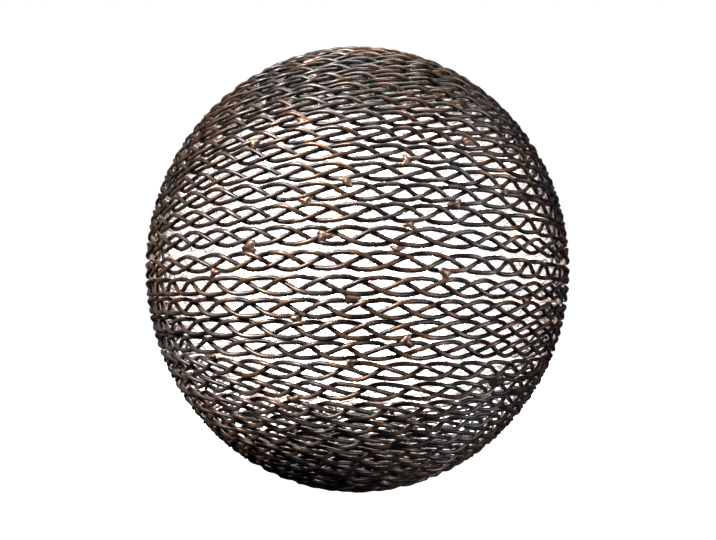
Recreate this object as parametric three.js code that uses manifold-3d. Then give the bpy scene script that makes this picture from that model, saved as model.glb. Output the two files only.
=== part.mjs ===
// Decorative wire sphere: a hollow ball built up from level rows of loose three-strand wire plait.
//
// Each row is a flat plait closed on itself, one wire that goes three times round the ball and
// passes over and under itself. The rows lie edge to edge from pole to pole, a hair apart, and
// leave a small eye at each pole. The ball is a little taller than wide, and its lowest rows are
// pressed level, so that it stands. Millimetres, +Z up, origin at the middle of the underside.

import * as THREE from 'three';
import { mergeVertices } from 'three/addons/utils/BufferGeometryUtils.js';
import Module from 'manifold-3d';

// The ball: half its outer width and half its outer height before the underside is pressed level.
const OUTER_RADIUS = 125;
const OUTER_HALF_HEIGHT = 131.5;

// The rows, evenly spaced in latitude. The last row at each pole leaves an eye.
const ROW_COUNT = 40;
const ROW_PITCH = THREE.MathUtils.degToRad(4.365);
const FLAT_LATITUDE = THREE.MathUtils.degToRad(-78.6);

// The wire is three-sided here, with one side facing outwards, and rises and dips by WIRE_RISE.
const WIRE_SECTION_RADIUS = 0.95;
const WIRE_RISE = 1.8;
const WIRE_HALF_WIDTH = WIRE_SECTION_RADIUS * Math.sin(Math.PI / 3);
const WIRE_OUTER_SIDE = WIRE_SECTION_RADIUS * Math.cos(Math.PI / 3);

// Crossings along one edge of a row, from the two middle rows out to the two polar ones. A
// straight length cuts the corner of its ring, so the rows beside the middle need the most for
// their strands to stay clear of each other. One wire closes on itself after three turns only
// where the number is no multiple of three.
const TURNS = 3;
const CROSSINGS = [8, 10, 10, 11, 11, 13, 13, 13, 13, 13, 13, 13, 13, 11, 11, 10, 10, 8, 7, 5];

// Room between rows, and how much is dressed off the underside to give flats to stand on.
const ROW_GAP = 0.35;
const FLAT_DRESSING = 0.25;

// The rows braided the other way round, as they are numbered from the bottom.
const FIRST_MIRRORED_ROW = 16;
const LAST_MIRRORED_ROW = 19;

const MID_RADIUS = OUTER_RADIUS - WIRE_RISE - WIRE_OUTER_SIDE;
const MID_HALF_HEIGHT = OUTER_HALF_HEIGHT - WIRE_RISE - WIRE_OUTER_SIDE;

const copper = new THREE.MeshStandardMaterial({ color: 0x5a4436, roughness: 0.42, metalness: 0.9 });

// Heights are counted from the pressed underside, where the lowest crowns are dressed flat.
const FLAT_HEIGHT = WIRE_RISE + WIRE_OUTER_SIDE - FLAT_DRESSING;
const CENTRE_HEIGHT = FLAT_HEIGHT - MID_HALF_HEIGHT * Math.sin(FLAT_LATITUDE);

// The radius from the axis and the height of the middle of the plait at a latitude, how far it
// runs per radian of latitude, and the direction in which it faces, all in the upright plane
// through the axis.
function profileAt(latitude) {
  const radius = MID_RADIUS * Math.cos(latitude);
  const height = CENTRE_HEIGHT + MID_HALF_HEIGHT * Math.sin(latitude);
  if (latitude < FLAT_LATITUDE) {
    const run = MID_RADIUS * Math.abs(Math.sin(latitude));
    return { radius, height: FLAT_HEIGHT, run, outward: 0, upward: -1 };
  }
  const run = Math.hypot(MID_RADIUS * Math.sin(latitude), MID_HALF_HEIGHT * Math.cos(latitude));
  const outward = Math.cos(latitude) / MID_RADIUS;
  const upward = Math.sin(latitude) / MID_HALF_HEIGHT;
  const length = Math.hypot(outward, upward);
  return { radius, height, run, outward: outward / length, upward: upward / length };
}

// One row's wire as a curve. It runs straight between crossings: along one edge of the plait,
// across to the other edge, along that edge, and back. At each crossing it is out or in by
// WIRE_RISE. Straight lengths cut the corner of the ring, so the plait is narrowed by the room
// that this takes towards the pole, and moved half of it away from the pole.
class PlaitedRow extends THREE.Curve {
  constructor(latitude, crossings, mirrored) {
    super();
    this.crossings = crossings;
    this.side = mirrored ? -1 : 1;
    this.firstAngle = -Math.PI / crossings;
    const { radius, run } = profileAt(latitude);
    const cornerCut = radius * (1 - Math.cos(Math.PI / this.crossings));
    const room = cornerCut * Math.abs(Math.sin(latitude));
    const halfWidth = (ROW_PITCH * run - ROW_GAP - room) / 2 - WIRE_HALF_WIDTH;
    this.latitude = latitude - (Math.sign(latitude) * room) / 2 / run;
    this.halfSpread = halfWidth / run;
    this.pointCount = 4 * this.crossings;
  }

  // The four corners of one wave: edge, far edge, along the far edge, back to the first edge.
  cornerAt(index) {
    const wave = Math.floor(index / 4);
    const corner = ((index % 4) + 4) % 4;
    const phase = [1, 2, 4, 5][corner] / 6;
    const angle = this.firstAngle + ((wave + phase) * TURNS * 2 * Math.PI) / this.crossings;
    const edge = corner === 0 || corner === 3 ? 1 : -1;
    const rise = (corner % 2 === 0 ? 1 : -1) * this.side * WIRE_RISE;
    const { radius, height, outward, upward } = profileAt(this.latitude + edge * this.halfSpread);
    const around = radius + rise * outward;
    return {
      point: new THREE.Vector3(around * Math.cos(angle), around * Math.sin(angle), height + rise * upward),
      facing: new THREE.Vector3(outward * Math.cos(angle), outward * Math.sin(angle), upward),
    };
  }

  getPoint(t, target = new THREE.Vector3()) {
    return target.copy(this.cornerAt(Math.round(t * this.pointCount)).point);
  }

  getSpacedPoints(divisions) {
    return Array.from({ length: divisions + 1 }, (_, i) => this.getPoint(i / divisions));
  }

  // At each corner the section lies in the plane that halves the bend, one side facing outwards.
  computeFrenetFrames(segments) {
    const frames = { tangents: [], normals: [], binormals: [] };
    for (let i = 0; i <= segments; i++) {
      const here = this.cornerAt(i % segments);
      const before = this.cornerAt((i % segments) - 1).point;
      const after = this.cornerAt((i % segments) + 1).point;
      const arriving = here.point.clone().sub(before).normalize();
      const leaving = after.clone().sub(here.point).normalize();
      const tangent = arriving.add(leaving).normalize();
      const normal = here.facing.clone().addScaledVector(tangent, -here.facing.dot(tangent)).normalize();
      frames.tangents.push(tangent);
      frames.normals.push(normal);
      frames.binormals.push(new THREE.Vector3().crossVectors(tangent, normal));
    }
    return frames;
  }
}

// A three-sided section with one side towards +X, the outward side of the wire.
function wireSection() {
  const corners = [0, 1, 2].map((i) => {
    const turn = Math.PI / 3 + (i * 2 * Math.PI) / 3;
    return new THREE.Vector2(WIRE_SECTION_RADIUS * Math.cos(turn), WIRE_SECTION_RADIUS * Math.sin(turn));
  });
  return new THREE.Shape(corners);
}

// The wire closes on itself, so the two end lids that an extrusion makes are left out, and its
// first and last sections are welded.
function closedWire(path) {
  const tube = new THREE.ExtrudeGeometry(wireSection(), { extrudePath: path, steps: path.pointCount });
  const sides = tube.groups.find((group) => group.materialIndex === 1);
  const positions = tube.attributes.position.array.slice(3 * sides.start, 3 * (sides.start + sides.count));
  const open = new THREE.BufferGeometry();
  open.setAttribute('position', new THREE.BufferAttribute(positions, 3));
  return mergeVertices(open, 1e-3);
}

const wasm = await Module();
wasm.setup();

function asSolid(geometry) {
  const mesh = { numProp: 3, vertProperties: geometry.attributes.position.array };
  return new wasm.Manifold(new wasm.Mesh({ ...mesh, triVerts: Uint32Array.from(geometry.index.array) }));
}

function asGeometry(solid) {
  const mesh = solid.getMesh();
  const geometry = new THREE.BufferGeometry();
  geometry.setAttribute('position', new THREE.BufferAttribute(mesh.vertProperties, 3));
  geometry.setIndex(new THREE.BufferAttribute(mesh.triVerts, 1));
  return geometry;
}

// Dresses a row's lowest crowns off level with the underside.
function dressFlat(geometry) {
  const waste = new THREE.BoxGeometry(OUTER_RADIUS, OUTER_RADIUS, OUTER_RADIUS);
  waste.translate(0, 0, -OUTER_RADIUS / 2);
  waste.deleteAttribute('normal');
  waste.deleteAttribute('uv');
  return asGeometry(asSolid(geometry).subtract(asSolid(mergeVertices(waste))));
}

const sphere = new THREE.Group();
for (let number = 1; number <= ROW_COUNT; number++) {
  const fromMiddle = number - (ROW_COUNT + 1) / 2;
  const latitude = fromMiddle * ROW_PITCH;
  const mirrored = number >= FIRST_MIRRORED_ROW && number <= LAST_MIRRORED_ROW;
  const crossings = CROSSINGS[Math.floor(Math.abs(fromMiddle))];
  const geometry = closedWire(new PlaitedRow(latitude, crossings, mirrored));
  const finished = latitude < FLAT_LATITUDE ? dressFlat(geometry) : geometry;
  const mesh = new THREE.Mesh(finished, copper.clone());
  mesh.name = `plait_${String(number).padStart(2, '0')}`;
  sphere.add(mesh);
}

export default sphere;
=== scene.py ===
"""Decorative wire sphere in a pale studio: forty plaited rows of antiqued copper wire.

Each row is one wire that goes three times round the ball and passes over and under itself.
The rows keep the places, the names and the size of the solid model's rows. Braze joints hold
neighbouring rows together. Lengths are metres, +Z is up, the origin is under the ball.
"""

import logging
import math
from dataclasses import dataclass, field
from enum import Enum

import bpy
import numpy as np
from mathutils import Euler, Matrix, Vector


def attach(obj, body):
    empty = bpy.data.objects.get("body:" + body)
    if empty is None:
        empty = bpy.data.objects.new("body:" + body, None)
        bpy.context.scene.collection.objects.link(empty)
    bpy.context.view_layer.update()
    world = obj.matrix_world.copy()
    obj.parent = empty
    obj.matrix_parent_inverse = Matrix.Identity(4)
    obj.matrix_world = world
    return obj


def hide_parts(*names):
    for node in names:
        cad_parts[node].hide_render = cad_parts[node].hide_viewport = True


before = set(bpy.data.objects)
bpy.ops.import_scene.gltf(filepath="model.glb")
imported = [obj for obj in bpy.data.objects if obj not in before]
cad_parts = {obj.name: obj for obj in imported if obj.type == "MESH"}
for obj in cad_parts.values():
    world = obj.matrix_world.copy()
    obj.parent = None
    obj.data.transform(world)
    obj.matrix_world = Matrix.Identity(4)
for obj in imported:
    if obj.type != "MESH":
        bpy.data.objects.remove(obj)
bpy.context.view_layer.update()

logging.basicConfig(level=logging.INFO, format="%(levelname)s %(message)s")
LOG = logging.getLogger("wire_sphere")

MM = 0.001

# The rows, numbered from the bottom, and how often a row's one wire goes round the ball.
ROW_COUNT = 40
ROW_PITCH = math.radians(4.365)
TURNS = 3

# Where the shaded bulbs that light the ball's far wall from inside hang.
INNER_LAMP = (0.0, -0.08, 0.1287)

# Seeds of the random draws. A row adds its number to each of its own, and a lump its index.
LAG_SEED = 20
STRETCH_SEED = 100
SWAY_SEED = 200
ARC_SEED = 300
STREWN_SEED = 20
LUMP_SEED = 900

Colour = tuple[float, float, float, float]
Triple = tuple[float, float, float]
Span = tuple[float, float]


class PlaitHand(Enum):
    """Which strand lies on top where two of them meet at the upper edge of a row."""

    FALLING_OVER = 1.0
    RISING_OVER = -1.0


def periodic_noise(angle: np.ndarray, harmonics: range, seed: int) -> np.ndarray:
    """Smooth unit-size noise that closes on itself round the ball.

    It is the sum of one cosine per harmonic, each with its own random lag, divided by the root
    of half their number so that its spread stays the same.

    Args:
        angle: azimuths, radians.
        harmonics: whole numbers of waves round the ball.
        seed: chooses the lags.
    Returns:
        One value per azimuth, with a spread of about one.
    """
    lags = np.random.default_rng(seed).uniform(0.0, 2 * np.pi, len(harmonics))
    counts = np.array(harmonics, dtype=float)
    waves = np.cos(angle[:, None] * counts[None, :] + lags[None, :])
    return waves.sum(axis=1) / math.sqrt(len(harmonics) / 2)


def mesh_object(
    name: str,
    vertices: np.ndarray,
    faces: list[list[int]],
    uv: np.ndarray | None = None,
    **point_values: np.ndarray,
) -> bpy.types.Object:
    """Makes a smooth mesh object and puts it in the scene.

    Args:
        name: the object's name.
        vertices: (n, 3) places, metres.
        faces: vertex numbers of each face, anticlockwise from outside.
        uv: one pair per face corner, or None.
        point_values: named numbers, one per vertex, for the finish to read.
    Returns:
        The linked object.
    """
    mesh = bpy.data.meshes.new(name)
    mesh.from_pydata(vertices.tolist(), [], faces)
    mesh.polygons.foreach_set("use_smooth", np.ones(len(faces), dtype=bool))
    if uv is not None:
        layer = mesh.uv_layers.new(name="along_and_round")
        layer.data.foreach_set("uv", uv.astype(np.float32).ravel())
    for key, values in point_values.items():
        attribute = mesh.attributes.new(key, "FLOAT", "POINT")
        attribute.data.foreach_set("value", values.astype(np.float32).ravel())
    mesh.update()
    made = bpy.data.objects.new(name, mesh)
    bpy.context.scene.collection.objects.link(made)
    return made


class Nodes:
    """A short way to write a material's node tree."""

    def __init__(self, name: str) -> None:
        """Starts an empty material.

        Args:
            name: the material's name.
        """
        self.material = bpy.data.materials.new(name)
        self.material.use_nodes = True
        self.tree = self.material.node_tree
        self.tree.nodes.clear()

    def add(self, kind: str, **inputs: object) -> bpy.types.Node:
        """Adds a node; a value that is a socket is linked, and any other is set.

        Args:
            kind: the node type without its prefix.
            inputs: socket names with _ for spaces, or node properties.
        Returns:
            The node.
        """
        node = self.tree.nodes.new(f"ShaderNode{kind}")
        for key, value in inputs.items():
            if hasattr(node, key):
                setattr(node, key, value)
                continue
            place = int(key[1:]) if key[1:].isdigit() else key.replace("_", " ")
            if isinstance(value, bpy.types.NodeSocket):
                self.tree.links.new(value, node.inputs[place])
            else:
                node.inputs[place].default_value = value
        return node

    def mix(self, share: object, low: object, high: object) -> bpy.types.NodeSocket:
        """Blends two colours.

        Args:
            share: 0 for low, 1 for high.
            low: a colour or a socket.
            high: a colour or a socket.
        Returns:
            The blended colour.
        """
        node = self.add("Mix", data_type="RGBA", s0=share, s6=low, s7=high)
        return node.outputs[2]

    def ramp(self, value: object, span: Span, to: Span = (0.0, 1.0)) -> bpy.types.NodeSocket:
        """Stretches a value from one span to another, held at both ends.

        Args:
            value: a socket.
            span: the two values that become the ends of the new span.
            to: the new span.
        Returns:
            The stretched value.
        """
        ends = {"From_Min": span[0], "From_Max": span[1], "To_Min": to[0], "To_Max": to[1]}
        return self.add("MapRange", Value=value, **ends).outputs[0]

    def times(self, first: object, second: object) -> bpy.types.NodeSocket:
        """The product of two values.

        Args:
            first: a number or a socket.
            second: a number or a socket.
        Returns:
            The product.
        """
        return self.add("Math", operation="MULTIPLY", s0=first, s1=second).outputs[0]

    def surface(self, **inputs: object) -> bpy.types.Material:
        """Closes the tree with a principled surface.

        Args:
            inputs: the surface's sockets.
        Returns:
            The finished material.
        """
        shader = self.add("BsdfPrincipled", **inputs)
        self.add("OutputMaterial", Surface=shader.outputs[0])
        return self.material


@dataclass(frozen=True)
class WireFinish:
    """Copper wire with a dark antique finish and warm metal on the crowns, which is partly real
    rubbing and partly painted light: a painted highlight on the over-passes and the outward faces
    of the wire, painted shade on the under-passes and the inward faces.

    Each span of the masks gives where a measure begins to count and where it counts in full.
    """

    patina: Colour = (0.012, 0.010, 0.010, 1.0)
    bronze: Colour = (0.060, 0.042, 0.034, 1.0)
    copper: Colour = (0.56, 0.30, 0.175, 1.0)
    pewter: Colour = (0.36, 0.32, 0.30, 1.0)
    lacquer: float = 0.40
    lacquer_roughness: float = 0.16
    cloud_scale: float = 160.0
    patch_scale: float = 28.0
    streaks_along: float = 90.0
    streaks_round: float = 9.0
    draw_mark_depth: float = 0.05 * MM
    draw_mark_strength: float = 0.5
    # Where the height on the wave brings in the bright tone, as rubbing and as painted highlight.
    crown_worn: Span = (0.24, 0.80)
    clouds_worn: Span = (0.34, 0.62)
    streaks_worn: Span = (0.30, 0.62)
    bronze_clouds: Span = (0.36, 0.70)
    copper_patches: Span = (0.40, 0.56)
    streaks_span: Span = (0.30, 0.70)
    roughness: Span = (0.26, 0.46)
    metallic: Span = (0.25, 1.0)

    def build(self) -> bpy.types.Material:
        """Mixes the three tones by the height on the wave, clouds of rubbing and drawing streaks.
        The height on the wave paints light as well as rubbing: over-passes and outward faces
        lighter, under-passes and inward faces darker.

        Returns:
            The wire's material.
        """
        nodes = Nodes("copper_wire")
        place = nodes.add("TexCoord")
        # Height on the wave: partly real rubbing, partly painted light, a painted highlight on the
        # over-passes and painted shade on the under-passes.
        crown = nodes.add("Attribute", attribute_name="crown").outputs["Fac"]
        clouds = nodes.add(
            "TexNoise", Vector=place.outputs["Object"], Scale=self.cloud_scale,
            Detail=3.0, Roughness=0.55,
        ).outputs[0]
        stretch = nodes.add(
            "Mapping", Vector=place.outputs["UV"],
            Scale=(self.streaks_along, self.streaks_round, 1.0),
        ).outputs[0]
        streaks = nodes.add(
            "TexNoise", Vector=stretch, Scale=1.0, Detail=4.0, Roughness=0.6
        ).outputs[0]
        rubbing_and_painted_light = nodes.times(
            nodes.ramp(crown, self.crown_worn), nodes.ramp(clouds, self.clouds_worn)
        )
        worn_and_painted_light = nodes.times(rubbing_and_painted_light, nodes.ramp(streaks, self.streaks_worn))
        base = nodes.mix(nodes.ramp(clouds, self.bronze_clouds), self.patina, self.bronze)
        patches = nodes.add(
            "TexNoise", Vector=place.outputs["Object"], Scale=self.patch_scale, Detail=2.0
        ).outputs[0]
        rubbed_and_highlight_tone = nodes.mix(
            nodes.ramp(patches, self.copper_patches), self.pewter, self.copper
        )
        colour = nodes.mix(worn_and_painted_light, base, rubbed_and_highlight_tone)
        rough = nodes.ramp(streaks, self.streaks_span, self.roughness)
        bump = nodes.add(
            "Bump", Strength=self.draw_mark_strength, Distance=self.draw_mark_depth,
            Height=streaks,
        ).outputs[0]
        metal = nodes.ramp(worn_and_painted_light, (0.0, 1.0), self.metallic)
        return nodes.surface(
            Base_Color=colour, Metallic=metal, Roughness=rough, Normal=bump,
            Coat_Weight=self.lacquer, Coat_Roughness=self.lacquer_roughness,
        )


@dataclass(frozen=True)
class BrazeFinish:
    """Braze metal left bright: tan copper with paler and darker scale."""

    scale_tone: Colour = (0.17, 0.095, 0.065, 1.0)
    bright: Colour = (0.62, 0.37, 0.26, 1.0)
    grain: float = 700.0
    bright_clouds: Span = (0.36, 0.58)
    skin_depth: float = 0.3 * MM
    skin_strength: float = 0.7
    metallic: float = 0.85
    roughness: float = 0.42

    def build(self) -> bpy.types.Material:
        """Mixes dark scale and bright metal in small clouds over a lumpy skin.

        Returns:
            The braze material.
        """
        nodes = Nodes("braze_metal")
        place = nodes.add("TexCoord").outputs["Object"]
        clouds = nodes.add(
            "TexNoise", Vector=place, Scale=self.grain, Detail=4.0, Roughness=0.6
        ).outputs[0]
        colour = nodes.mix(
            nodes.ramp(clouds, self.bright_clouds), self.scale_tone, self.bright
        )
        bump = nodes.add(
            "Bump", Strength=self.skin_strength, Distance=self.skin_depth, Height=clouds
        ).outputs[0]
        return nodes.surface(
            Base_Color=colour, Metallic=self.metallic, Roughness=self.roughness, Normal=bump
        )


@dataclass(frozen=True)
class FloorFinish:
    """A pale, faintly mottled studio floor that glows more with distance, into the backdrop."""

    light: Colour = (0.96, 0.96, 0.955, 1.0)
    shade: Colour = (0.90, 0.90, 0.895, 1.0)
    near_glow: float = 1.0
    far_glow: float = 1.2
    reach: Span = (0.15, 1.1)
    cloud_scale: float = 3.0
    roughness: float = 0.8

    def build(self) -> bpy.types.Material:
        """Mixes two near-white tones in wide clouds; the glow grows evenly over the reach.

        Returns:
            The floor's material.
        """
        nodes = Nodes("studio_floor")
        place = nodes.add("TexCoord").outputs["Object"]
        clouds = nodes.add("TexNoise", Vector=place, Scale=self.cloud_scale, Detail=2.0).outputs[0]
        tone = nodes.mix(clouds, self.shade, self.light)
        distance = nodes.add("VectorMath", operation="LENGTH", s0=place).outputs[1]
        glow = nodes.ramp(distance, self.reach, (self.near_glow, self.far_glow))
        return nodes.surface(
            Base_Color=tone, Roughness=self.roughness, Emission_Color=tone,
            Emission_Strength=glow,
        )


@dataclass
class BallShape:
    """The surface that the middles of the rows follow: a little taller than wide, flat below."""

    mid_radius: float = 122.83 * MM
    mid_half_height: float = 129.29 * MM
    centre_height: float = 128.70 * MM
    flat_latitude: float = math.radians(-78.6)
    flat_height: float = 2.15 * MM

    def pitch_at(self, latitude: float) -> float:
        """The distance between two rows along the surface.

        The surface runs (a sin, b cos) per radian of latitude, and a row pitch is a fixed
        angle.

        Args:
            latitude: the middle of the row, radians.
        Returns:
            Metres from one row's middle to the next.
        """
        run = math.hypot(
            self.mid_radius * math.sin(latitude), self.mid_half_height * math.cos(latitude)
        )
        return run * ROW_PITCH

    def place(
        self, latitude: np.ndarray, azimuth: np.ndarray, rise: np.ndarray
    ) -> tuple[np.ndarray, np.ndarray]:
        """Points at a height over the surface, and the surface's outward direction there.

        A point is (a cos lat sin az, -a cos lat cos az, centre + b sin lat) and the outward
        direction is in proportion to (b cos lat, a sin lat) in its upright plane. Under the
        flat latitude the surface is level and faces down.

        Args:
            latitude: radians, one per point.
            azimuth: radians from the front towards +X.
            rise: metres outwards from the surface.
        Returns:
            (n, 3) places and (n, 3) unit directions.
        """
        flat = latitude < self.flat_latitude
        out = self.mid_half_height * np.cos(latitude)
        up = self.mid_radius * np.sin(latitude)
        length = np.hypot(out, up)
        out, up = np.where(flat, 0.0, out / length), np.where(flat, -1.0, up / length)
        radius = self.mid_radius * np.cos(latitude) + rise * out
        level = self.centre_height + self.mid_half_height * np.sin(latitude)
        height = np.maximum(level, self.flat_height) + rise * up
        side, back = np.sin(azimuth), -np.cos(azimuth)
        places = np.stack([radius * side, radius * back, height], axis=1)
        return places, np.stack([out * side, out * back, up], axis=1)


@dataclass
class PlaitedRow:
    """One row: a flat three-strand plait of a single wire, closed on itself."""

    number: int
    shape: BallShape
    hand: PlaitHand
    latitude_offset: float = 0.0
    splices: tuple[float, ...] = ()
    splice_length: float = math.radians(1.2)
    wire_radius: float = 1.08 * MM
    wire_rise: float = 1.06 * MM
    fill: float = 0.955
    flattening: float = 0.05
    crossings_round_equator: float = 46.0
    fewest_crossings: int = 4
    steps_per_wave: int = 24
    sides: int = 8
    sway: float = 0.22 * MM
    sway_waves: range = range(2, 7)
    stretch: float = 0.07
    arc_spread: float = 0.035
    uv_per_metre: float = 20.0

    @property
    def name(self) -> str:
        """The row's name, the same as its solid's."""
        return f"plait_{self.number:02d}"

    @property
    def latitude(self) -> float:
        """The middle of the row, radians."""
        level = (self.number - (ROW_COUNT + 1) / 2) * ROW_PITCH
        return level + self.latitude_offset

    @property
    def crossings(self) -> int:
        """Crossings along one edge: as many as fit, and never a multiple of three."""
        wanted = self.crossings_round_equator * math.cos(self.latitude)
        count = max(self.fewest_crossings, round(wanted))
        if count % 3 == 0:
            count += 1 if wanted > count else -1
        return max(self.fewest_crossings, count)

    def centre_line(self) -> tuple[np.ndarray, np.ndarray, np.ndarray]:
        """The wire's middle, the outward direction and the height on the wave.

        The wire's phase goes round once for three crossings of an edge. Across the row it
        moves as the cosine of the phase, flattened by a share of its third harmonic. Outwards
        it moves as the sine of twice the phase, so that it is over and under in turn. Slow
        noise stretches and shortens its loops along the row, quick noise makes them a little
        wider or narrower, and the whole row sways up and down.

        Returns:
            (n, 3) places, (n, 3) directions and (n,) rises in metres.
        """
        count = self.crossings
        steps = count * self.steps_per_wave
        phase = np.arange(steps) * (2 * np.pi / self.steps_per_wave)
        lag = np.random.default_rng(LAG_SEED + self.number).uniform(0, 2 * np.pi / count)
        even = phase * TURNS / count + lag
        slow, quick = range(2, max(4, count // 4)), range(max(3, count // 4), max(6, count))
        warp = periodic_noise(even, slow, STRETCH_SEED + self.number) / np.mean(slow)
        azimuth = even + self.stretch * warp
        sway = self.sway * periodic_noise(even, self.sway_waves, SWAY_SEED + self.number)
        arcs = 1 + self.arc_spread * periodic_noise(even, quick, ARC_SEED + self.number)
        width = self.fill * self.shape.pitch_at(self.latitude) / 2 - self.wire_radius
        wave = (np.cos(phase) - self.flattening * np.cos(3 * phase)) / (1 - self.flattening)
        across = width * wave * arcs + sway
        side = self.hand.value * self.side_of_splices(even)
        rise = self.wire_rise * np.sin(2 * phase) * side
        run = self.shape.pitch_at(self.latitude) / ROW_PITCH
        latitude = self.latitude + across / run
        places, outward = self.shape.place(latitude, azimuth, rise)
        return places, outward, rise

    def side_of_splices(self, azimuth: np.ndarray) -> np.ndarray:
        """Changes the hand of the plait between the row's splices.

        The side is a steep hyperbolic tangent of the product, over the two splices, of the
        sine of half the turn from the splice. The product changes sign at each splice only.

        Args:
            azimuth: radians.
        Returns:
            +1 or -1 per azimuth, with a smooth step at each splice.
        """
        if not self.splices:
            return np.ones_like(azimuth)
        halves = [np.sin((azimuth - splice) / 2) for splice in self.splices]
        return np.tanh(2 * np.prod(halves, axis=0) / self.splice_length)

    def build(self) -> bpy.types.Object:
        """Sweeps a round section along the wire.

        Each section lies across the line between its neighbours, with its first side outwards.

        Returns:
            The row, a closed tube.
        """
        places, outward, rise = self.centre_line()
        ahead = np.roll(places, -1, axis=0) - np.roll(places, 1, axis=0)
        ahead /= np.linalg.norm(ahead, axis=1, keepdims=True)
        across = np.cross(ahead, outward)
        across /= np.linalg.norm(across, axis=1, keepdims=True)
        over = np.cross(across, ahead)
        turn = np.arange(self.sides) * (2 * np.pi / self.sides)
        ring = (
            np.cos(turn)[None, :, None] * over[:, None, :]
            + np.sin(turn)[None, :, None] * across[:, None, :]
        )
        skin = places[:, None, :] + self.wire_radius * ring
        # The height on the wave plus the outward side of the wire, for the finish: partly real
        # rubbing, partly painted light, lighter over-passes and outward faces, darker under-passes
        # and inward faces.
        crown = (rise[:, None] + self.wire_radius * np.cos(turn)[None, :]) / (
            self.wire_rise + self.wire_radius
        )
        count, sides = len(places), self.sides
        step, side = (g.ravel() for g in np.indices((count, sides)))
        ahead_of, beside = (step + 1) % count, (side + 1) % sides
        faces = np.stack(
            [
                step * sides + side,
                step * sides + beside,
                ahead_of * sides + beside,
                ahead_of * sides + side,
            ],
            axis=1,
        )
        lengths = np.linalg.norm(np.roll(places, -1, axis=0) - places, axis=1)
        along = np.concatenate([[0.0], np.cumsum(lengths)]) * self.uv_per_metre
        uv = np.stack(
            [
                np.stack([along[step], side / sides], 1),
                np.stack([along[step], (side + 1) / sides], 1),
                np.stack([along[step + 1], (side + 1) / sides], 1),
                np.stack([along[step + 1], side / sides], 1),
            ],
            axis=1,
        )
        made = mesh_object(self.name, skin.reshape(-1, 3), faces.tolist(), uv, crown=crown)
        LOG.info("%s: %d crossings an edge, %d faces", self.name, self.crossings, len(faces))
        return made

    def dress(self, made: bpy.types.Object, material: bpy.types.Material) -> None:
        """Puts the finish on the row, hangs it on the root body and hides the solid of the same
        name.

        Args:
            made: the row.
            material: its finish.
        """
        made.data.materials.append(material)
        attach(made, "root")
        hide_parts(self.name)


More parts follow.
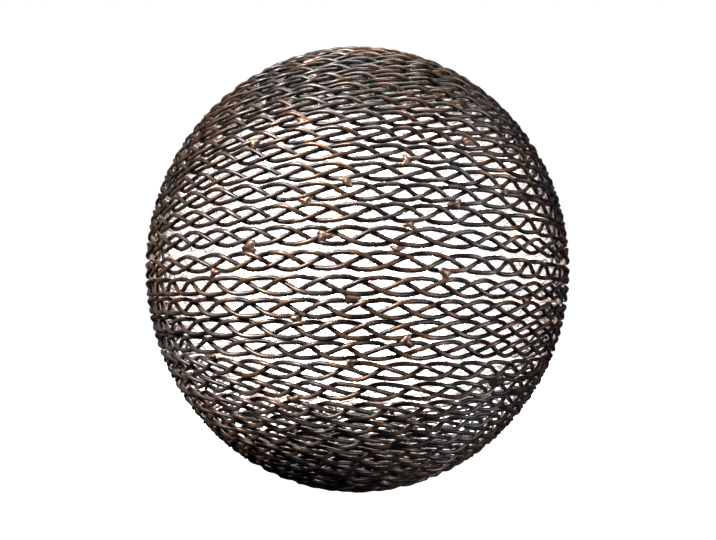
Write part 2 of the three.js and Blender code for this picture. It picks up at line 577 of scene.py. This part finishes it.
@dataclass
class BrazeJoints:
    """Small webbed lumps of braze metal that hold neighbouring rows together."""

    shape: BallShape
    front: tuple[Triple, ...] = ()
    name: str = "braze_joints"
    radius: float = 2.5 * MM
    thickness: float = 1.35 * MM
    lift: float = 0.25 * MM
    web: float = 0.42
    unevenness: float = 0.13
    soft_waves: int = 4
    wave_pitch: float = 1.9
    length_share: Span = (0.9, 1.5)
    height_share: Span = (0.7, 1.05)
    rings: int = 7
    spokes: int = 12
    strewn_round_equator: int = 7
    strewn_scatter: float = 0.3
    strewn_sizes: Span = (0.8, 1.2)
    shown_facing: float = 0.25
    shown_latitude: float = math.radians(50)

    def lump(
        self, latitude: float, azimuth: float, size: float, seed: int
    ) -> tuple[np.ndarray, np.ndarray, np.ndarray]:
        """One lump: a squashed ball drawn out to three points, with a softly uneven skin.

        The reach grows and shrinks three times round by the web share, most at the rim, and
        a few soft waves push the skin in and out.

        Args:
            latitude: the seam between the two rows, radians.
            azimuth: radians from the front.
            size: how many times the usual radius.
            seed: chooses the waves.
        Returns:
            Its (n, 3) vertices, its four-sided faces and the triangles at its two tips.
        """
        rng = np.random.default_rng(seed)
        tip = np.linspace(0, np.pi, self.rings + 2)[1:-1]
        turn = np.arange(self.spokes) * (2 * np.pi / self.spokes)
        t, a = (g.ravel() for g in np.meshgrid(tip, turn, indexing="ij"))
        unit = np.stack([np.sin(t) * np.cos(a), np.sin(t) * np.sin(a), np.cos(t)], 1)
        unit = np.vstack([unit, [[0, 0, 1.0]], [[0, 0, -1.0]]])
        pushes = rng.normal(size=(self.soft_waves, 3)) * self.wave_pitch
        lags = rng.uniform(0, 2 * np.pi, self.soft_waves)
        skin = 1 + self.unevenness * np.sin(unit @ pushes.T + lags).sum(axis=1)
        stretch = np.array([rng.uniform(*self.length_share), rng.uniform(*self.height_share), 1.0])
        skin[:-2] *= 1 + self.web * np.sin(t) ** 2 * np.cos(3 * (a - lags[0]))
        local = unit * skin[:, None] * stretch
        local *= np.array([self.radius * size, self.radius * size, self.thickness])
        middle, outward = self.shape.place(
            np.array([latitude]), np.array([azimuth]), np.array([self.lift])
        )
        east = np.array([math.cos(azimuth), math.sin(azimuth), 0.0])
        north = np.cross(outward[0], east)
        vertices = middle + local @ np.stack([east, north, outward[0]])
        ring, spoke = (g.ravel() for g in np.indices((self.rings - 1, self.spokes)))
        here, below = ring * self.spokes, (ring + 1) * self.spokes
        beside = (spoke + 1) % self.spokes
        quads = np.stack([here + spoke, below + spoke, below + beside, here + beside], 1)
        spoke = np.arange(self.spokes)
        beside = (spoke + 1) % self.spokes
        last, top = (self.rings - 1) * self.spokes, np.full_like(spoke, self.rings * self.spokes)
        tips = [[top, spoke, beside], [top + 1, last + beside, last + spoke]]
        return vertices, quads, np.vstack([np.stack(corners, 1) for corners in tips])

    def places(self) -> list[Triple]:
        """The lumps that the front shows, and evenly strewn ones on every other seam.

        Returns:
            Latitude, azimuth and size of each, in radians and usual radii.
        """
        rng = np.random.default_rng(STREWN_SEED)
        made = [(math.radians(up), math.radians(turn), size) for up, turn, size in self.front]
        for seam in range(1, ROW_COUNT):
            latitude = (seam - ROW_COUNT / 2) * ROW_PITCH
            crowd = max(1, round(self.strewn_round_equator * math.cos(latitude)))
            first = rng.uniform(0, 2 * np.pi)
            for lump in range(crowd):
                scatter = rng.uniform(-self.strewn_scatter, self.strewn_scatter)
                azimuth = first + 2 * np.pi * (lump + scatter) / crowd
                facing = math.cos(azimuth) * math.cos(latitude)
                if facing < self.shown_facing or abs(latitude) > self.shown_latitude:
                    made.append((latitude, azimuth, rng.uniform(*self.strewn_sizes)))
        return made

    def build(self) -> bpy.types.Object:
        """Gathers all the lumps in one mesh.

        Returns:
            The joints.
        """
        vertices, faces, start = [], [], 0
        for index, (latitude, azimuth, size) in enumerate(self.places()):
            some, quads, tips = self.lump(latitude, azimuth, size, LUMP_SEED + index)
            vertices.append(some)
            faces += (quads + start).tolist() + (tips + start).tolist()
            start += len(some)
        LOG.info("%s: %d lumps, %d faces", self.name, len(vertices), len(faces))
        return mesh_object(self.name, np.vstack(vertices), faces)

    def dress(self, made: bpy.types.Object, material: bpy.types.Material) -> None:
        """Puts the finish on the joints.

        Args:
            made: the joints.
            material: their finish.
        """
        made.data.materials.append(material)
        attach(made, "root")


@dataclass(frozen=True)
class Lamp:
    """One soft light: where it hangs, what it faces, its size, power, colour and cone.

    A light with no cone is a square panel; one with a cone is a shaded bulb.
    """

    name: str
    place: Triple
    aim: Triple
    size: float
    power: float
    colour: Triple = (1.0, 1.0, 1.0)
    cone: float = 0.0
    soft_edge: float = 0.25

    def hang(self) -> bpy.types.Object:
        """Hangs the light.

        Returns:
            The light, which the camera does not see.
        """
        data = bpy.data.lights.new(self.name, "SPOT" if self.cone else "AREA")
        if self.cone:
            data.spot_size, data.spot_blend = math.radians(self.cone), self.soft_edge
            data.shadow_soft_size = self.size
        else:
            data.shape, data.size = "SQUARE", self.size
        data.energy, data.color = self.power, self.colour
        lamp = bpy.data.objects.new(self.name, data)
        lamp.location = self.place
        facing = Vector(self.aim) - Vector(self.place)
        lamp.rotation_euler = facing.to_track_quat("-Z", "Y").to_euler()
        lamp.visible_camera = False
        bpy.context.scene.collection.objects.link(lamp)
        return lamp


@dataclass
class Studio:
    """Floor, soft lights and the camera.

    Three shaded bulbs inside the ball wash the middle of its far wall out to white, so that
    the near rows stand clear against it.
    """

    ball: BallShape
    camera_distance: float = 375.0 * MM
    camera_elevation: float = math.radians(-3.8)
    camera_roll: float = math.radians(0.7)
    lens: float = 30.22
    sensor_width: float = 36.0
    shift: Span = (0.0007, -0.0014)
    floor_size: float = 40.0
    lamps: tuple[Lamp, ...] = (
        Lamp("key", (-0.60, -0.70, 0.85), (0.0, 0.0, 0.13), 0.36, 19.0, (1.0, 0.98, 0.96)),
        Lamp("fill", (0.90, -0.65, 0.20), (0.0, 0.0, 0.13), 0.40, 4.0, (0.75, 0.86, 1.0)),
        Lamp("top", (0.10, 0.00, 1.10), (0.0, 0.0, 0.13), 0.36, 4.0),
        Lamp("far_wall_left", INNER_LAMP, (-0.062, 0.12, 0.1511), 0.01, 110.0, cone=76.0),
        Lamp("far_wall", INNER_LAMP, (0.0, 0.12, 0.1511), 0.01, 110.0, cone=76.0),
        Lamp("far_wall_right", INNER_LAMP, (0.062, 0.12, 0.1511), 0.01, 110.0, cone=76.0),
    )

    def build(self) -> None:
        """Makes the floor, the lights, the surroundings and the camera."""
        self.make_floor()
        for lamp in self.lamps:
            lamp.hang()
        self.make_room()
        bpy.context.scene.view_settings.view_transform = "Standard"
        self.make_camera()

    def make_floor(self) -> None:
        """Lays a wide floor under the ball."""
        half = self.floor_size / 2
        corners = np.array([[-half, -half, 0], [half, -half, 0], [half, half, 0], [-half, half, 0]])
        floor = mesh_object("floor", corners, [[0, 1, 2, 3]])
        floor.data.materials.append(FloorFinish().build())
        floor.visible_diffuse = floor.visible_glossy = False

    def make_room(self) -> None:
        """Puts a white backdrop all round that shows behind the ball and gives no light."""
        world = bpy.data.worlds.new("studio")
        world.use_nodes = True
        backdrop = world.node_tree.nodes["Background"]
        backdrop.inputs["Color"].default_value = (1.0, 1.0, 1.0, 1.0)
        backdrop.inputs["Strength"].default_value = 1.0
        reach = world.cycles_visibility
        reach.diffuse = reach.glossy = reach.transmission = reach.scatter = False
        bpy.context.scene.world = world

    def make_camera(self) -> None:
        """Sets the camera a little under the ball's middle, looking at it."""
        data = bpy.data.cameras.new("camera")
        data.lens, data.sensor_width = self.lens, self.sensor_width
        data.shift_x, data.shift_y = self.shift
        data.clip_start, data.clip_end = 0.01, 100.0
        camera = bpy.data.objects.new("camera", data)
        lean = self.camera_elevation
        camera.location = (
            0.0,
            -self.camera_distance * math.cos(lean),
            self.ball.centre_height + self.camera_distance * math.sin(lean),
        )
        look = Euler((math.pi / 2 - lean, 0.0, 0.0)).to_matrix()
        roll = Euler((0.0, 0.0, self.camera_roll)).to_matrix()
        camera.rotation_euler = (look @ roll).to_euler()
        bpy.context.scene.collection.objects.link(camera)
        bpy.context.scene.camera = camera


@dataclass
class WireSphere:
    """The whole ball: its rows and the joints between them.

    A latitude offset is how many degrees a row sits above its even place.
    """

    shape: BallShape = field(default_factory=BallShape)
    mirrored_rows: range = range(16, 20)
    spliced_row: int = 21
    splices: tuple[float, ...] = (math.radians(-6.5), math.radians(171.0))
    latitude_offsets: dict[int, float] = field(
        default_factory=lambda: {
            25: 0.23, 24: 0.27, 23: 0.48, 22: 0.60, 21: 0.50, 20: 0.0,
            19: -0.20, 18: -0.16, 17: 0.09, 16: 0.40, 15: 0.24, 14: 0.20,
        }
    )
    front_joints: tuple[Triple, ...] = ()

    def rows(self) -> list[PlaitedRow]:
        """Lists the rows from the bottom up.

        Returns:
            The forty rows.
        """
        made = []
        for number in range(1, ROW_COUNT + 1):
            mirrored = number in self.mirrored_rows
            made.append(
                PlaitedRow(
                    number=number,
                    shape=self.shape,
                    hand=PlaitHand.RISING_OVER if mirrored else PlaitHand.FALLING_OVER,
                    latitude_offset=math.radians(self.latitude_offsets.get(number, 0.0)),
                    splices=self.splices if number == self.spliced_row else (),
                )
            )
        return made

    def build(self) -> None:
        """Builds and dresses every row and the joints."""
        wire, braze = WireFinish().build(), BrazeFinish().build()
        for row in self.rows():
            row.dress(row.build(), wire)
        joints = BrazeJoints(self.shape, self.front_joints)
        joints.dress(joints.build(), braze)


# Braze joints seen from the front: latitude and azimuth in degrees, and size against the usual.
FRONT_JOINTS = (
    (23.0, -25.1, 1.0), (13.5, -2.5, 1.0), (9.4, -10.8, 1.0), (24.1, 26.6, 1.2),
    (17.9, 10.4, 1.0), (13.6, 34.4, 1.0), (9.3, 20.6, 1.0), (4.9, 10.5, 1.0),
    (0.3, 7.7, 1.0), (-4.2, 18.2, 1.0), (0.5, -22.5, 1.0), (2.5, -6.7, 1.1),
    (-4.2, -31.3, 1.0), (-9.1, -1.4, 1.0), (-13.1, -12.2, 1.0), (-17.3, 10.1, 1.0),
    (-9.1, 40.9, 1.0), (-21.6, -0.9, 1.0), (-21.6, -36.1, 1.0), (-26.0, 35.9, 1.4),
    (-30.3, -15.1, 1.0), (27.4, -13.1, 1.0), (36.0, 32.8, 1.0),
)


def main() -> None:
    """Builds the ball and its studio."""
    sphere = WireSphere(front_joints=FRONT_JOINTS)
    sphere.build()
    Studio(sphere.shape).build()


if __name__ == "__main__":
    main()
